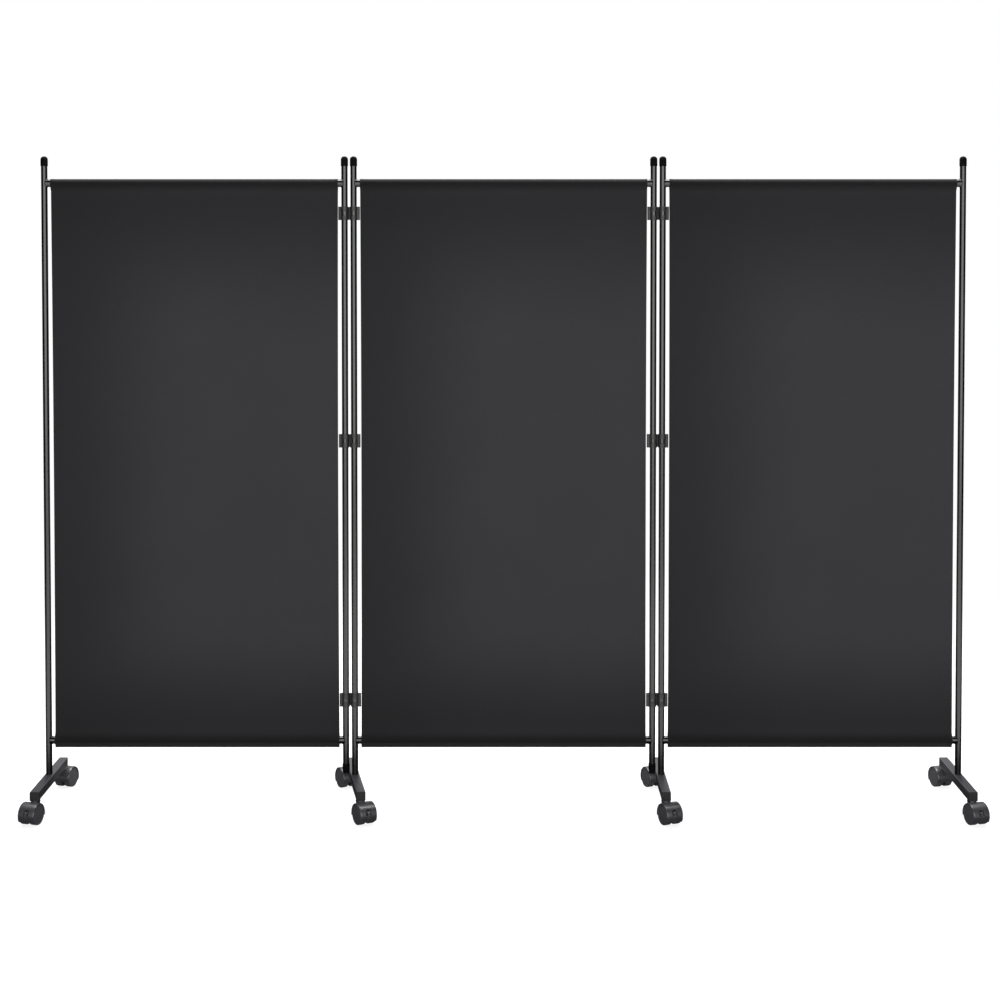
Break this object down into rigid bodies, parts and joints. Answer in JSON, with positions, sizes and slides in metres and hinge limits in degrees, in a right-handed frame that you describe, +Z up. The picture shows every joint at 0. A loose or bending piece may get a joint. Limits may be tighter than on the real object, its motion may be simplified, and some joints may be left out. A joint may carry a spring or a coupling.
{
  "type": "privacy screen",
  "caption": "Folding room divider of framed fabric panels joined by clip hinges, standing on cross feet with braked twin-wheel casters.",
  "frame": {"origin": "on the floor, at the middle of the opened screen", "axes": "+X along the opened panels to the right as seen from the front, +Y from the front to the back, +Z up"},
  "size_m": [2.6072, 0.4138, 1.803],
  "materials": {
    "powder_coat": "black semi-gloss powder coat on steel tube",
    "fabric": "charcoal plain-woven polyester, stretched flat",
    "cap_plastic": "black moulded polyethylene",
    "clip_plastic": "dark grey moulded nylon",
    "plug_plastic": "black-grey moulded polypropylene",
    "caster_plastic": "dark grey moulded nylon hood",
    "wheel_plastic": "dark grey moulded nylon wheel",
    "lever_plastic": "grey moulded nylon brake lever"
  },
  "bodies": {
    "left_panel": {"left_panel_left_post": "powder_coat", "left_panel_left_post_cap": "cap_plastic", "left_panel_right_post": "powder_coat", "left_panel_right_post_cap": "cap_plastic", "left_panel_top_rail": "powder_coat", "left_panel_bottom_rail": "powder_coat", "left_panel_fabric": "fabric", "left_outer_foot_bar": "powder_coat", "left_outer_front_bar_plug": "plug_plastic", "left_outer_rear_bar_plug": "plug_plastic"},
    "middle_panel": {"middle_panel_left_post": "powder_coat", "middle_panel_left_post_cap": "cap_plastic", "middle_panel_right_post": "powder_coat", "middle_panel_right_post_cap": "cap_plastic", "middle_panel_top_rail": "powder_coat", "middle_panel_bottom_rail": "powder_coat", "middle_panel_fabric": "fabric", "left_inner_foot_bar": "powder_coat", "left_inner_front_bar_plug": "plug_plastic", "left_inner_rear_bar_plug": "plug_plastic"},
    "right_panel": {"right_panel_left_post": "powder_coat", "right_panel_left_post_cap": "cap_plastic", "right_panel_right_post": "powder_coat", "right_panel_right_post_cap": "cap_plastic", "right_panel_top_rail": "powder_coat", "right_panel_bottom_rail": "powder_coat", "right_panel_fabric": "fabric", "right_inner_foot_bar": "powder_coat", "right_inner_front_bar_plug": "plug_plastic", "right_inner_rear_bar_plug": "plug_plastic", "right_outer_foot_bar": "powder_coat", "right_outer_front_bar_plug": "plug_plastic", "right_outer_rear_bar_plug": "plug_plastic"},
    "left_hinge_clips": {"left_hinge_clip_top": "clip_plastic", "left_hinge_clip_middle": "clip_plastic", "left_hinge_clip_bottom": "clip_plastic"},
    "right_hinge_clips": {"right_hinge_clip_top": "clip_plastic", "right_hinge_clip_middle": "clip_plastic", "right_hinge_clip_bottom": "clip_plastic"},
    "left_outer_front_caster": {"left_outer_front_caster_housing": "caster_plastic"},
    "left_outer_front_wheels": {"left_outer_front_caster_wheels": "wheel_plastic"},
    "left_outer_front_brake": {"left_outer_front_brake_lever": "lever_plastic"},
    "left_outer_rear_caster": {"left_outer_rear_caster_housing": "caster_plastic"},
    "left_outer_rear_wheels": {"left_outer_rear_caster_wheels": "wheel_plastic"},
    "left_inner_front_caster": {"left_inner_front_caster_housing": "caster_plastic"},
    "left_inner_front_wheels": {"left_inner_front_caster_wheels": "wheel_plastic"},
    "left_inner_front_brake": {"left_inner_front_brake_lever": "lever_plastic"},
    "left_inner_rear_caster": {"left_inner_rear_caster_housing": "caster_plastic"},
    "left_inner_rear_wheels": {"left_inner_rear_caster_wheels": "wheel_plastic"},
    "right_inner_front_caster": {"right_inner_front_caster_housing": "caster_plastic"},
    "right_inner_front_wheels": {"right_inner_front_caster_wheels": "wheel_plastic"},
    "right_inner_front_brake": {"right_inner_front_brake_lever": "lever_plastic"},
    "right_inner_rear_caster": {"right_inner_rear_caster_housing": "caster_plastic"},
    "right_inner_rear_wheels": {"right_inner_rear_caster_wheels": "wheel_plastic"},
    "right_outer_front_caster": {"right_outer_front_caster_housing": "caster_plastic"},
    "right_outer_front_wheels": {"right_outer_front_caster_wheels": "wheel_plastic"},
    "right_outer_front_brake": {"right_outer_front_brake_lever": "lever_plastic"},
    "right_outer_rear_caster": {"right_outer_rear_caster_housing": "caster_plastic"},
    "right_outer_rear_wheels": {"right_outer_rear_caster_wheels": "wheel_plastic"}
  },
  "joints": [
    {"name": "left_clips_on_middle_post", "type": "hinge", "parent": "middle_panel", "child": "left_hinge_clips", "pos_m": [-0.41367, 0, 1.017], "axis": [0, 0, 1], "range_deg": [-70, 70]},
    {"name": "left_panel_fold", "type": "hinge", "parent": "left_hinge_clips", "child": "left_panel", "pos_m": [-0.43867, 0, 1.017], "axis": [0, 0, 1], "range_deg": [-70, 70]},
    {"name": "right_clips_on_middle_post", "type": "hinge", "parent": "middle_panel", "child": "right_hinge_clips", "pos_m": [0.41367, 0, 1.017], "axis": [0, 0, 1], "range_deg": [-70, 70]},
    {"name": "right_panel_fold", "type": "hinge", "parent": "right_hinge_clips", "child": "right_panel", "pos_m": [0.43867, 0, 1.017], "axis": [0, 0, 1], "range_deg": [-70, 70]},
    {"name": "left_outer_front_caster_swivel", "type": "hinge", "parent": "left_panel", "child": "left_outer_front_caster", "pos_m": [-1.266, -0.149, 0.06], "axis": [0, 0, 1], "continuous": true},
    {"name": "left_outer_front_wheels_roll", "type": "hinge", "parent": "left_outer_front_caster", "child": "left_outer_front_wheels", "pos_m": [-1.27234, -0.17111, 0.027], "axis": [0.9613, -0.2756, 0], "continuous": true},
    {"name": "left_outer_front_brake_press", "type": "hinge", "parent": "left_outer_front_caster", "child": "left_outer_front_brake", "pos_m": [-1.27509, -0.18069, 0.02613], "axis": [0.9613, -0.2756, 0], "range_deg": [0, 15]},
    {"name": "left_outer_rear_caster_swivel", "type": "hinge", "parent": "left_panel", "child": "left_outer_rear_caster", "pos_m": [-1.266, 0.149, 0.06], "axis": [0, 0, 1], "continuous": true},
    {"name": "left_outer_rear_wheels_roll", "type": "hinge", "parent": "left_outer_rear_caster", "child": "left_outer_rear_wheels", "pos_m": [-1.25966, 0.17111, 0.027], "axis": [-0.9613, 0.2756, 0], "continuous": true},
    {"name": "left_inner_front_caster_swivel", "type": "hinge", "parent": "middle_panel", "child": "left_inner_front_caster", "pos_m": [-0.38779, -0.14674, 0.06], "axis": [0, 0, 1], "continuous": true},
    {"name": "left_inner_front_wheels_roll", "type": "hinge", "parent": "left_inner_front_caster", "child": "left_inner_front_wheels", "pos_m": [-0.37629, -0.16665, 0.027], "axis": [0.866, 0.5, 0], "continuous": true},
    {"name": "left_inner_front_brake_press", "type": "hinge", "parent": "left_inner_front_caster", "child": "left_inner_front_brake", "pos_m": [-0.37131, -0.17528, 0.02613], "axis": [0.866, 0.5, 0], "range_deg": [0, 15]},
    {"name": "left_inner_rear_caster_swivel", "type": "hinge", "parent": "middle_panel", "child": "left_inner_rear_caster", "pos_m": [-0.43954, 0.14674, 0.06], "axis": [0, 0, 1], "continuous": true},
    {"name": "left_inner_rear_wheels_roll", "type": "hinge", "parent": "left_inner_rear_caster", "child": "left_inner_rear_wheels", "pos_m": [-0.45104, 0.16665, 0.027], "axis": [-0.866, -0.5, 0], "continuous": true},
    {"name": "right_inner_front_caster_swivel", "type": "hinge", "parent": "right_panel", "child": "right_inner_front_caster", "pos_m": [0.43867, -0.149, 0.06], "axis": [0, 0, 1], "continuous": true},
    {"name": "right_inner_front_wheels_roll", "type": "hinge", "parent": "right_inner_front_caster", "child": "right_inner_front_wheels", "pos_m": [0.44765, -0.17017, 0.027], "axis": [0.9205, 0.3907, 0], "continuous": true},
    {"name": "right_inner_front_brake_press", "type": "hinge", "parent": "right_inner_front_caster", "child": "right_inner_front_brake", "pos_m": [0.45155, -0.17934, 0.02613], "axis": [0.9205, 0.3907, 0], "range_deg": [0, 15]},
    {"name": "right_inner_rear_caster_swivel", "type": "hinge", "parent": "right_panel", "child": "right_inner_rear_caster", "pos_m": [0.43867, 0.149, 0.06], "axis": [0, 0, 1], "continuous": true},
    {"name": "right_inner_rear_wheels_roll", "type": "hinge", "parent": "right_inner_rear_caster", "child": "right_inner_rear_wheels", "pos_m": [0.42968, 0.17017, 0.027], "axis": [-0.9205, -0.3907, 0], "continuous": true},
    {"name": "right_outer_front_caster_swivel", "type": "hinge", "parent": "right_panel", "child": "right_outer_front_caster", "pos_m": [1.266, -0.149, 0.06], "axis": [0, 0, 1], "continuous": true},
    {"name": "right_outer_front_wheels_roll", "type": "hinge", "parent": "right_outer_front_caster", "child": "right_outer_front_wheels", "pos_m": [1.27234, -0.17111, 0.027], "axis": [0.9613, 0.2756, 0], "continuous": true},
    {"name": "right_outer_front_brake_press", "type": "hinge", "parent": "right_outer_front_caster", "child": "right_outer_front_brake", "pos_m": [1.27509, -0.18069, 0.02613], "axis": [0.9613, 0.2756, 0], "range_deg": [0, 15]},
    {"name": "right_outer_rear_caster_swivel", "type": "hinge", "parent": "right_panel", "child": "right_outer_rear_caster", "pos_m": [1.266, 0.149, 0.06], "axis": [0, 0, 1], "continuous": true},
    {"name": "right_outer_rear_wheels_roll", "type": "hinge", "parent": "right_outer_rear_caster", "child": "right_outer_rear_wheels", "pos_m": [1.25966, 0.17111, 0.027], "axis": [-0.9613, -0.2756, 0], "continuous": true}
  ]
}
